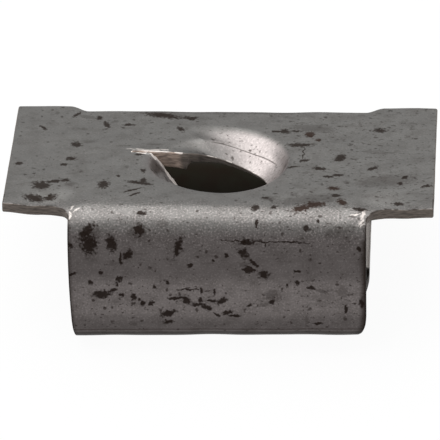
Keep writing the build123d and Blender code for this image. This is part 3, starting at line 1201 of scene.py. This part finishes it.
@dataclass(frozen=True)
class WornSpringSteel:
    """Spring steel strip, cold rolled, blanked, formed and tempered, then handled for years.

    Tempering leaves a thin grey oxide, which gives a soft satin sheen and no mirror. The web is
    painted darker and duller, a painted shade for the dim floor that it mirrors, and a little
    lighter low down, a painted reflection of the floor close in front. Painted sheen lies down
    the dish, on the flap and on the front fold, and the bottom fold is polished where the tools
    slid. Oxide blots and a little brown rust lie on it. The inner face is painted near black, a
    painted shade for the dark inside of the folds. The sheared edges are brown and striated, with
    painted light on the slit's faces and painted glints on the burrs; a near white on the leg's
    right margin is a painted reflection. Sizes and places are in millimetres; a place along the
    strip is the blank's y.
    """

    steel: str = "605F5D"
    # painted shade: darker than the steel, for the dim floor in front that the web mirrors
    web: str = "595453"
    # bright: the colour of painted sheen and painted reflection, and of wear on the bottom fold
    bright: str = "A8A09E"
    oxide: str = "1E1611"
    rust: str = "26170F"
    film: str = "332E2B"
    # colour of painted glints and highlights, and of real scuffs
    glint_and_scuff: str = "DDD5CF"
    # painted reflection of the floor on the leg's right margin
    margin_white: str = "F8EFE8"
    # painted shade: the inner face's near black, for the dark inside of the folds
    inner_shade: str = "17150F"
    sheared: str = "6F665F"
    # painted light: a lighter tan for the slit's sheared faces
    slit_face_light: str = "B8A598"
    grain_size: float = 0.11
    mottle_size: float = 0.9
    patch_size: float = 0.55
    ragged_size: float = 0.16
    shake_size: float = 0.3
    speck_size: float = 0.5
    fine_speck_size: float = 0.2
    streak_size: float = 0.45
    relief_height: float = 0.016
    web_from: Pair = (-1.3, -2.3)
    low_web: tuple[Pair, Pair] = ((-4.2, -5.2), (-7.3, -6.4))
    front_bend: tuple[Pair, Pair] = ((1.0, -0.4), (-3.4, -1.6))
    # painted shade: where the dark band lies low on the bottom fold
    bottom_shade_band: tuple[Pair, Pair] = ((-7.96, -8.1), (-8.7, -8.4))
    brown_line: float = -7.78
    # painted light: where the slit's sheared faces get the lighter tan
    slit_face_band: tuple[Pair, Pair] = ((5.6, 5.4), (2.65, 2.95))
    speckled_right: Pair = (-2.0, 6.0)
    # painted sheen: share of the bright colour on the dish, flap and folds
    sheen_and_wear_most: float = 0.72
    # painted reflection: share of the bright colour low on the web
    low_web_painted_sheen: float = 0.16
    mottle_most: float = 0.3
    patch_most: float = 0.24
    film_most: float = 0.4
    stain_most: float = 0.9
    # how far the painted glints and scuffs show
    glint_and_scuff_most: float = 0.42
    speck_most: float = 0.7
    fine_most: float = 0.62
    hair_most: float = 0.7
    # painted shade: how dark the band on the bottom fold is
    bottom_shade_most: float = 0.65
    brown_most: float = 0.5
    edge_line_most: float = 0.9
    raggedness: float = 1.9
    dull_more: float = 0.2

    def build(self) -> bpy.types.Material:
        """Lays the layers one over the other, from the ground to the painted reflection on the margin.

        Returns:
            The finished material.
        """
        material = bpy.data.materials.new("worn_spring_steel")
        material.use_nodes = True
        tree = material.node_tree
        shader = tree.nodes["Principled BSDF"]
        at = self.places(tree)
        colour = self.ground(tree, at)
        place = self.shaken(tree, at)
        colour, cover = self.stained(tree, at, place, colour)
        colour = self.specked(tree, at, place, colour)
        colour = self.lined(tree, at, colour)
        colour, streaks, lit = self.edged(tree, at, colour)
        # painted shade: the inner face is painted near black, mottled with oxide
        deep = node(tree, "MapRange", (at.mottle, 0.35, 0.75, 0.0, 0.6), **SOFT)
        inner = node(tree, "Mix", {0: deep, 6: self.inner_shade, 7: self.oxide}, 2, **PAINT)
        colour = node(tree, "Mix", {0: at.inside, 6: colour, 7: inner}, 2, **PAINT)
        # painted reflection: a near white on the leg's right margin, with no metal
        colour = node(tree, "Mix", {0: at.painted_margin_light, 6: colour, 7: self.margin_white}, 2, **PAINT)
        tree.links.new(colour, shader.inputs["Base Color"])
        shader.inputs["Specular Tint"].default_value = (0.7, 0.7, 0.7, 1.0)
        tree.links.new(self.metal(tree, at, lit), shader.inputs["Metallic"])
        tree.links.new(self.roughness(tree, at, cover), shader.inputs["Roughness"])
        tree.links.new(self.relief(tree, at, streaks), shader.inputs["Normal"])
        return material

    @staticmethod
    def band(tree: Tree, value: Socket, rise: Pair, fall: Pair) -> Socket:
        """Where a length lies between two soft steps.

        Args:
            tree: The material's nodes.
            value: The length, in metres.
            rise: Where the share goes from 0 to 1, in millimetres.
            fall: Where it goes from 0 to 1 on the other side.

        Returns:
            The product of the two steps.
        """
        first, second = (
            node(tree, "MapRange", (value, start * MM, end * MM), **SOFT) for start, end in (rise, fall)
        )
        return node(tree, "Math", (first, second), **TIMES)

    def places(self, tree: Tree) -> Places:
        """Reads the skin's attributes, and makes the shares and noises that several layers use.

        Args:
            tree: The material's nodes.

        Returns:
            The places.
        """
        cut, burr_glint, sheen_and_wear, edge_line, painted_margin_light, through = (
            node(tree, "Attribute", output="Fac", attribute_name=name)
            for name in ("cut", "burr_glint", "sheen_and_wear", "edge_line", "painted_margin_light", "depth_in_sheet")
        )
        blank = node(tree, "Attribute", output="Vector", attribute_name="blank")
        along = node(tree, "SeparateXYZ", (blank,), "Y")
        mottle, grain, ragged = (
            node(tree, "TexNoise", {"Vector": blank, "Scale": 1 / (size * MM), "Detail": detail}, "Fac")
            for size, detail in (
                (self.mottle_size, 5.0), (self.grain_size, 3.0), (self.ragged_size, 3.0),
            )
        )
        torn = node(tree, "Math", (ragged, 0.5), **LESS)
        under = node(tree, "MapRange", (through, 0.45, 0.7), **SOFT)
        face = node(tree, "Math", (1.0, cut), use_clamp=True, **LESS)
        from_centre = (blank, CREASE.centre())
        return Places(
            blank=blank,
            along=along,
            web=node(tree, "MapRange", (along, *(end * MM for end in self.web_from)), **SOFT),
            low_web=self.band(tree, along, *self.low_web),
            front_bend=self.band(tree, along, *self.front_bend),
            impression=node(tree, "VectorMath", from_centre, "Value", operation="DISTANCE"),
            cut=cut,
            burr_glint=burr_glint,
            sheen_and_wear=sheen_and_wear,
            edge_line=edge_line,
            painted_margin_light=painted_margin_light,
            inside=node(tree, "Math", (under, face), **TIMES),
            mottle=mottle,
            grain=grain,
            torn=node(tree, "Math", (torn, self.raggedness), **TIMES),
        )

    def ground(self, tree: Tree, at: Places) -> Socket:
        """Grey oxide, mottled at a millimetre and grained at a tenth.

        Real grain is about ten times finer, and is drawn this coarse so that it shows. It shows
        most where sheen and wear are painted, and on the front fold. The web is painted darker, a
        painted shade, and lighter low down, a painted reflection of the floor close in front.

        Args:
            tree: The material's nodes.
            at: Places on the clip.

        Returns:
            The ground's colour.
        """
        drawn = node(tree, "VectorMath", (at.blank, (0.45, 1.0, 1.0)), **TIMES)
        patchy = {"Vector": drawn, "Scale": 1 / (self.patch_size * MM), "Detail": 4.0}
        patchy = node(tree, "TexNoise", patchy, "Fac")
        # painted shade: the web takes the darker web colour
        colour = node(tree, "Mix", {0: at.web, 6: self.steel, 7: self.web}, 2, **PAINT)
        # painted reflection: low on the web the bright colour is mixed in, for the near floor it
        # mirrors
        painted_light_band = node(tree, "Math", (at.low_web, self.low_web_painted_sheen), **TIMES)
        colour = node(tree, "Mix", {0: painted_light_band, 6: colour, 7: self.bright}, 2, **PAINT)
        for noise, low, high, most in (
            (at.mottle, 0.35, 0.75, self.mottle_most), (patchy, 0.56, 0.72, self.patch_most),
        ):
            share = node(tree, "MapRange", (noise, low, high, 0.0, most), **SOFT)
            colour = node(tree, "Mix", {0: share, 6: colour, 7: self.film}, 2, **PAINT)

        grainy = node(tree, "Math", (at.sheen_and_wear, 0.2, 0.1), **TIMES_PLUS)
        bent = node(tree, "Math", (at.low_web, 0.5, at.front_bend), **TIMES_PLUS)
        grainy = node(tree, "Math", (bent, 0.22, grainy), **TIMES_PLUS)
        peaks = node(tree, "MapRange", (at.grain, 0.5, 0.7), **SOFT)
        sparkle = node(tree, "Math", (peaks, grainy), **TIMES)
        # painted sheen on the dish, the flap and the front fold, wear on the bottom fold, and grain
        # sparkle
        share = node(tree, "Math", (at.sheen_and_wear, self.sheen_and_wear_most, sparkle), **TIMES_PLUS)
        colour = node(tree, "Mix", {0: share, 6: colour, 7: self.bright}, 2, **PAINT)
        pits = node(tree, "MapRange", (at.grain, 0.44, 0.3), **SOFT)
        dimple = node(tree, "Math", (pits, grainy), **TIMES)
        return node(tree, "Mix", {0: dimple, 6: colour, 7: self.film}, 2, **PAINT)

    def shaken(self, tree: Tree, at: Places) -> Socket:
        """Moves the place on the blank a little by noise, so that outlines on it are uneven.

        Args:
            tree: The material's nodes.
            at: Places on the clip.

        Returns:
            The shaken place.
        """
        inputs = {"Vector": at.blank, "Scale": 1 / (self.shake_size * MM), "Detail": 2.0}
        shake = node(tree, "TexNoise", inputs, "Color")
        shake = node(tree, "VectorMath", (shake, (0.5, 0.5, 0.5)), **LESS)
        shake = node(tree, "VectorMath", {0: shake, 3: self.shake_size * MM}, operation="SCALE")
        return node(tree, "VectorMath", (at.blank, shake), **PLUS)

    def stained(self, tree: Tree, at: Places, place: Socket,
                colour: Socket) -> tuple[Socket, Socket]:
        """Paints the marks, kind by kind: the depth inside the nearest one, made ragged.

        Args:
            tree: The material's nodes.
            at: Places on the clip.
            place: The shaken place on the blank.
            colour: The colour under the marks.

        Returns:
            The colour, and how far rust or oxide covers the steel.
        """
        turned = {
            lean: node(tree, "VectorRotate", {"Vector": place, "Angle": -math.radians(lean)},
                       rotation_type="Z_AXIS")
            for lean in sorted({mark.lean for mark in MARKS})
        }
        cover: Socket | float = 0.0
        for kind, paint, most in (
            (Stain.FILM, self.film, self.film_most), (Stain.RUST, self.rust, self.stain_most),
            (Stain.OXIDE, self.oxide, self.stain_most), (Stain.GLINT_AND_SCUFF, self.glint_and_scuff, self.glint_and_scuff_most),
        ):
            depth = self.depth_in_marks(tree, turned, kind)
            depth = node(tree, "Math", (depth, at.torn), **PLUS)
            share = node(tree, "MapRange", (depth, -0.22, 0.42, 0.0, most), **SOFT)
            colour = node(tree, "Mix", {0: share, 6: colour, 7: paint}, 2, **PAINT)
            if kind in (Stain.RUST, Stain.OXIDE):
                cover = node(tree, "Math", (cover, share), **LARGER)
        return colour, cover

    @staticmethod
    def depth_in_marks(tree: Tree, turned: dict[float, Socket], kind: Stain) -> Socket:
        """How deep inside the kind's nearest mark a place is.

        Args:
            tree: The material's nodes.
            turned: The place on the blank, turned back by each lean.
            kind: The kind of mark.

        Returns:
            1 in the mark's middle, 0 at its outline, and less outside it.
        """
        nearest: Socket | float = 3.0
        for mark in MARKS:
            if mark.kind is not kind:
                continue
            middle = Matrix.Rotation(-math.radians(mark.lean), 2) @ Vector((mark.x, mark.y))
            local = node(tree, "VectorMath", (
                turned[mark.lean],
                (1 / (mark.half_length * MM), 1 / (mark.half_width * MM), 0.0),
                (-middle.x / mark.half_length, -middle.y / mark.half_width, 0.0),
            ), **TIMES_PLUS)
            away = node(tree, "VectorMath", (local,), "Value", operation="LENGTH")
            nearest = node(tree, "Math", (nearest, away), operation="MINIMUM")
        return node(tree, "Math", (1.0, nearest), **LESS)

    def specked(self, tree: Tree, at: Places, place: Socket, colour: Socket) -> Socket:
        """Adds specks: a cell in a few has a dark core. They crowd low on the web and at the right.

        Args:
            tree: The material's nodes.
            at: Places on the clip.
            place: The shaken place on the blank.
            colour: The colour under the specks.

        Returns:
            The colour with them.
        """
        for size, low, offset in ((self.speck_size, 0.58, 0.0), (self.speck_size * 0.45, 0.62, 3.7)):
            moved = node(tree, "VectorMath", (place, (offset * MM, offset * MM, 0.0)), **PLUS)
            cells = node(tree, "TexVoronoi", {"Vector": moved, "Scale": 1 / (size * MM)}).node
            chance = node(tree, "SeparateColor", (cells.outputs["Color"],), 0)
            chance = node(tree, "Math", (at.low_web, 0.12, chance), **TIMES_PLUS)
            chance = node(tree, "MapRange", (chance, low, low + 0.2), **SOFT)
            core = (at.torn, 0.12, cells.outputs["Distance"])
            core = node(tree, "Math", core, **TIMES_PLUS)
            core = node(tree, "MapRange", (core, 0.26, 0.1, 0.0, self.speck_most), **SOFT)
            share = node(tree, "Math", (core, chance), **TIMES)
            colour = node(tree, "Mix", {0: share, 6: colour, 7: self.oxide}, 2, **PAINT)

        wide = node(tree, "VectorMath", (at.blank, (0.6, 1.0, 1.0)), **TIMES)
        fine = {"Vector": wide, "Scale": 1 / (self.fine_speck_size * MM), "Detail": 3.0}
        fine = node(tree, "TexNoise", fine, "Fac")
        side = node(tree, "SeparateXYZ", (at.blank,), "X")
        start, end = self.speckled_right
        right = node(tree, "MapRange", (side, start * MM, end * MM, 0.0, 0.05), **SOFT)
        leaf = node(tree, "Math", (at.web, -0.7, 1.0), **TIMES_PLUS)
        fine = node(tree, "Math", (right, leaf, fine), **TIMES_PLUS)
        fine = node(tree, "Math", (at.low_web, 0.02, fine), **TIMES_PLUS)
        share = node(tree, "MapRange", (fine, 0.64, 0.72, 0.0, self.fine_most), **SOFT)
        return node(tree, "Mix", {0: share, 6: colour, 7: self.oxide}, 2, **PAINT)

    def lined(self, tree: Tree, at: Places, colour: Socket) -> Socket:
        """Adds the long fine lines.

        A hairline of painted shade runs round the dish where the collar bends down, a dark line of
        painted shade lies low on the bottom fold, where it turns under towards the floor, and a thin
        brown one just above that.

        Args:
            tree: The material's nodes.
            at: Places on the clip.
            colour: The colour under the lines.

        Returns:
            The colour with them.
        """
        # painted shade: a fine dark line along the crease, in the oxide colour
        gap = node(tree, "Math", (at.impression, CREASE.radius * MM), **LESS)
        gap = node(tree, "Math", (gap,), operation="ABSOLUTE")
        spread = node(tree, "VectorMath", (at.blank, CREASE.middle()), "Value", operation="DISTANCE")
        width, reach = CREASE.half_width * MM, CREASE.reach * MM
        hair = node(tree, "MapRange", (gap, width, 0.2 * width, 0.0, self.hair_most), **SOFT)
        ends = node(tree, "MapRange", (spread, reach, 0.7 * reach), **SOFT)
        share = node(tree, "Math", (hair, ends), **TIMES)
        colour = node(tree, "Mix", {0: share, 6: colour, 7: self.oxide}, 2, **PAINT)

        # painted shade: a dark band low on the bottom fold, where it turns under towards the floor
        painted_light_band = self.band(tree, at.along, *self.bottom_shade_band)
        share = node(tree, "Math", (painted_light_band, self.bottom_shade_most), **TIMES)
        colour = node(tree, "Mix", {0: share, 6: colour, 7: self.oxide}, 2, **PAINT)
        above = node(tree, "Math", (at.along, self.brown_line * MM), **LESS)
        above = node(tree, "Math", (above,), operation="ABSOLUTE")
        above = node(tree, "Math", (at.torn, 0.03 * MM, above), **TIMES_PLUS)
        line = (above, 0.07 * MM, 0.02 * MM, 0.0, self.brown_most)
        share = node(tree, "MapRange", line, **SOFT)
        return node(tree, "Mix", {0: share, 6: colour, 7: self.rust}, 2, **PAINT)

    def edged(self, tree: Tree, at: Places, colour: Socket) -> tuple[Socket, Socket, Socket]:
        """Adds the sheared edges: brown and striated, with a broken oxide line and painted glints.

        Args:
            tree: The material's nodes.
            at: Places on the clip.
            colour: The colour of the faces.

        Returns:
            The colour with the edges, the striae, and how far the painted glints show.
        """
        streaks = node(tree, "VectorMath", (at.blank, (1.0, 1.0, 7.0)), **TIMES)
        streaks, broken, patches = (
            node(tree, "TexNoise", {"Vector": place, "Scale": 1 / (size * MM), "Detail": detail}, "Fac")
            for place, size, detail in (
                (streaks, self.streak_size, 4.0), (at.blank, 0.4, 3.0), (at.blank, 0.55, 2.0),
            )
        )
        # painted light: the slit's sheared faces are a lighter tan than the rim's wall
        slit_face_light = self.band(tree, at.impression, *self.slit_face_band)
        side = node(tree, "Mix", {0: slit_face_light, 6: self.sheared, 7: self.slit_face_light}, 2, **PAINT)
        share = node(tree, "MapRange", (streaks, 0.35, 0.7, 0.0, 0.7), **SOFT)
        side = node(tree, "Mix", {0: share, 6: side, 7: self.film}, 2, **PAINT)
        share = node(tree, "Math", (at.web, 0.85), **TIMES)
        side = node(tree, "Mix", {0: share, 6: side, 7: self.oxide}, 2, **PAINT)
        colour = node(tree, "Mix", {0: at.cut, 6: colour, 7: side}, 2, **PAINT)

        broken = node(tree, "Math", (at.web, 0.5, broken), **TIMES_PLUS)
        broken = node(tree, "MapRange", (broken, 0.4, 0.54, 0.0, self.edge_line_most), **SOFT)
        share = node(tree, "Math", (at.edge_line, broken), **TIMES)
        colour = node(tree, "Mix", {0: share, 6: colour, 7: self.oxide}, 2, **PAINT)

        # painted glints: near-white spots along the burrs, made less metallic, none on the web
        patches = node(tree, "Math", (at.burr_glint, 0.3, patches), **TIMES_PLUS)
        patches = node(tree, "MapRange", (patches, 0.68, 0.76), **SOFT)
        near = node(tree, "MapRange", (at.burr_glint, 0.2, 0.45), **SOFT)
        lit = node(tree, "Math", (patches, near), **TIMES)
        share = node(tree, "Math", (0.85, at.web), use_clamp=True, **LESS)
        share = node(tree, "Math", (lit, share), **TIMES)
        colour = node(tree, "Mix", {0: share, 6: colour, 7: self.glint_and_scuff}, 2, **PAINT)
        return colour, streaks, lit

    def metal(self, tree: Tree, at: Places, lit: Socket) -> Socket:
        """How metallic it is: less on brown edges and painted glints.

        Not at all on the painted reflection on the leg's margin.

        Args:
            tree: The material's nodes.
            at: Places on the clip.
            lit: How far the painted glints show.

        Returns:
            The shader's metallic.
        """
        edges = node(tree, "Math", (at.cut, 0.6), **TIMES)
        edges = node(tree, "Math", (edges, at.painted_margin_light), **LARGER)
        glinting = node(tree, "Math", (lit, 0.75), **TIMES)
        dull = node(tree, "Math", (edges, glinting), **LARGER)
        return node(tree, "Math", (1.0, dull), **LESS)

    def roughness(self, tree: Tree, at: Places, cover: Socket) -> Socket:
        """Satin steel: smoother on painted sheen and wear, dull on stains, inner face and sheared
        edges.

        Args:
            tree: The material's nodes.
            at: Places on the clip.
            cover: How far rust or oxide covers the steel.

        Returns:
            The shader's roughness.
        """
        base = node(tree, "MapRange", (at.mottle, 0.2, 0.8, 0.38, 0.48), **SOFT)
        base = node(tree, "Math", (at.sheen_and_wear, -0.06, base), **TIMES_PLUS)
        dull = node(tree, "Math", (cover, at.inside), **LARGER)
        dull = node(tree, "Math", (dull, at.cut), **LARGER)
        off_margin = node(tree, "Math", (1.0, at.painted_margin_light), **LESS)
        dull = node(tree, "Math", (dull, off_margin), **TIMES)
        return node(tree, "Math", (dull, self.dull_more, base), **TIMES_PLUS)

    def relief(self, tree: Tree, at: Places, streaks: Socket) -> Socket:
        """Relief of a few hundredths: the grain, and the striae of the sheared edges.

        Args:
            tree: The material's nodes.
            at: Places on the clip.
            streaks: The striae.

        Returns:
            The shader's normal.
        """
        grain = node(tree, "Math", (at.sheen_and_wear, 0.4, 0.35), **TIMES_PLUS)
        grain = node(tree, "Math", (at.front_bend, 0.7, grain), **TIMES_PLUS)
        grain = node(tree, "Math", (at.grain, grain), **TIMES)
        striae = node(tree, "Math", (streaks, at.cut), **TIMES)
        height = node(tree, "Math", (striae, 3.0, grain), **TIMES_PLUS)
        inputs = {"Strength": 0.5, "Distance": self.relief_height * MM, "Height": height}
        return node(tree, "Bump", inputs)


# --- scene -----------------------------------------------------------------------------------


@dataclass(frozen=True)
class Studio:
    """Pale floor, one large soft lamp high behind the clip, and a white room."""

    floor_size: float = 3.0
    floor_white: float = 0.95
    lamp_place: tuple[float, float, float] = (-0.12, 0.19, 0.40)
    lamp_size: Pair = (0.84, 0.58)
    lamp_radiance: float = 2.4
    lamp_aim: tuple[float, float, float] = (0.0, 0.0, 0.004)
    room_light: float = 0.45

    def build(self) -> None:
        """Makes the floor, the lamp and the room.

        Rays from the camera, and those that the metal mirrors, see the floor and the room
        whiter than they light the clip. The floor keeps part of its shadow for them.
        """
        half = self.floor_size / 2
        mesh = bpy.data.meshes.new("floor")
        corners = [(-half, -half, 0), (half, -half, 0), (half, half, 0), (-half, half, 0)]
        mesh.from_pydata(corners, [], [(0, 1, 2, 3)])
        floor = bpy.data.objects.new("floor", mesh)
        bpy.context.scene.collection.objects.link(floor)
        material = bpy.data.materials.new("pale_floor")
        material.use_nodes = True
        tree = material.node_tree
        shader = tree.nodes["Principled BSDF"]
        shader.inputs["Base Color"].default_value = linear("F2F2F2")
        shader.inputs["Roughness"].default_value = 0.9
        white = node(tree, "Emission", {"Color": (1, 1, 1, 1), "Strength": 1.0})
        share = node(tree, "Math", (self.seen(tree), self.floor_white), **TIMES)
        mixed = node(tree, "MixShader", (share, shader.outputs[0], white))
        tree.links.new(mixed, tree.nodes["Material Output"].inputs["Surface"])
        mesh.materials.append(material)
        self.softbox()

        world = bpy.data.worlds.new("white_room")
        bpy.context.scene.world = world
        world.use_nodes = True
        tree = world.node_tree
        background = tree.nodes["Background"]
        background.inputs["Color"].default_value = (1, 1, 1, 1)
        levels = {"Value": self.seen(tree), "To Min": self.room_light, "To Max": 1.0}
        tree.links.new(node(tree, "MapRange", levels), background.inputs["Strength"])

    @staticmethod
    def seen(tree: Tree) -> Socket:
        """Which rays see the floor and the room white.

        Args:
            tree: The nodes of a material or of the world.

        Returns:
            1 for rays from the camera, mirrored rays and rays through glass, 0 for the rest.
        """
        path = node(tree, "LightPath").node
        camera, mirrored, through = (
            path.outputs[f"Is {kind} Ray"] for kind in ("Camera", "Glossy", "Transmission")
        )
        direct = node(tree, "Math", (camera, mirrored), **LARGER)
        return node(tree, "Math", (direct, through), **LARGER)

    def softbox(self) -> None:
        """A rectangular lamp that faces the clip, as bright all over as lamp_radiance."""
        lamp = bpy.data.lights.new("softbox", "AREA")
        lamp.shape = "RECTANGLE"
        lamp.size, lamp.size_y = self.lamp_size
        lamp.energy = self.lamp_radiance * math.pi * lamp.size * lamp.size_y
        thing = bpy.data.objects.new("softbox", lamp)
        bpy.context.scene.collection.objects.link(thing)
        thing.location = self.lamp_place
        aim = Vector(self.lamp_aim) - Vector(self.lamp_place)
        thing.rotation_euler = aim.to_track_quat("-Z", "Y").to_euler()


@dataclass(frozen=True)
class Viewpoint:
    """A long lens, in front of the web and above, turned a little to the right."""

    azimuth: float = 3.34
    elevation: float = 40.93
    roll: float = -1.6
    distance: float = 381.0
    target: tuple[float, float, float] = (-0.067, -1.377, 3.903)
    lens: float = 578.5
    sensor: float = 36.0

    def build(self) -> None:
        """Makes the camera and gives it to the scene."""
        a, e, roll = (math.radians(v) for v in (self.azimuth, self.elevation, self.roll))
        back = Vector((math.sin(a) * math.cos(e), -math.cos(a) * math.cos(e), math.sin(e)))
        right = Vector((math.cos(a), math.sin(a), 0))
        up = back.cross(right)
        right, up = (
            math.cos(roll) * right + math.sin(roll) * up,
            -math.sin(roll) * right + math.cos(roll) * up,
        )
        data = bpy.data.cameras.new("camera")
        data.lens, data.sensor_width = self.lens, self.sensor
        data.clip_start, data.clip_end = 0.01, 20.0
        camera = bpy.data.objects.new("camera", data)
        bpy.context.scene.collection.objects.link(camera)
        turn = Matrix((right, up, back)).transposed().to_4x4()
        eye = Vector(self.target) * MM + back * self.distance * MM
        camera.matrix_world = Matrix.Translation(eye) @ turn
        bpy.context.scene.camera = camera


def main() -> None:
    """Builds the finish, the clip, the studio and the camera, in that order."""
    logging.basicConfig(level=logging.INFO, format="%(name)s: %(message)s")
    steel = WornSpringSteel().build()
    clip = ClipNut().build()
    clip.data.materials.append(steel)
    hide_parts(NODE)
    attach(clip, "root")
    Studio().build()
    Viewpoint().build()
    bpy.context.scene.view_settings.view_transform = "Standard"


if __name__ == "__main__":
    main()
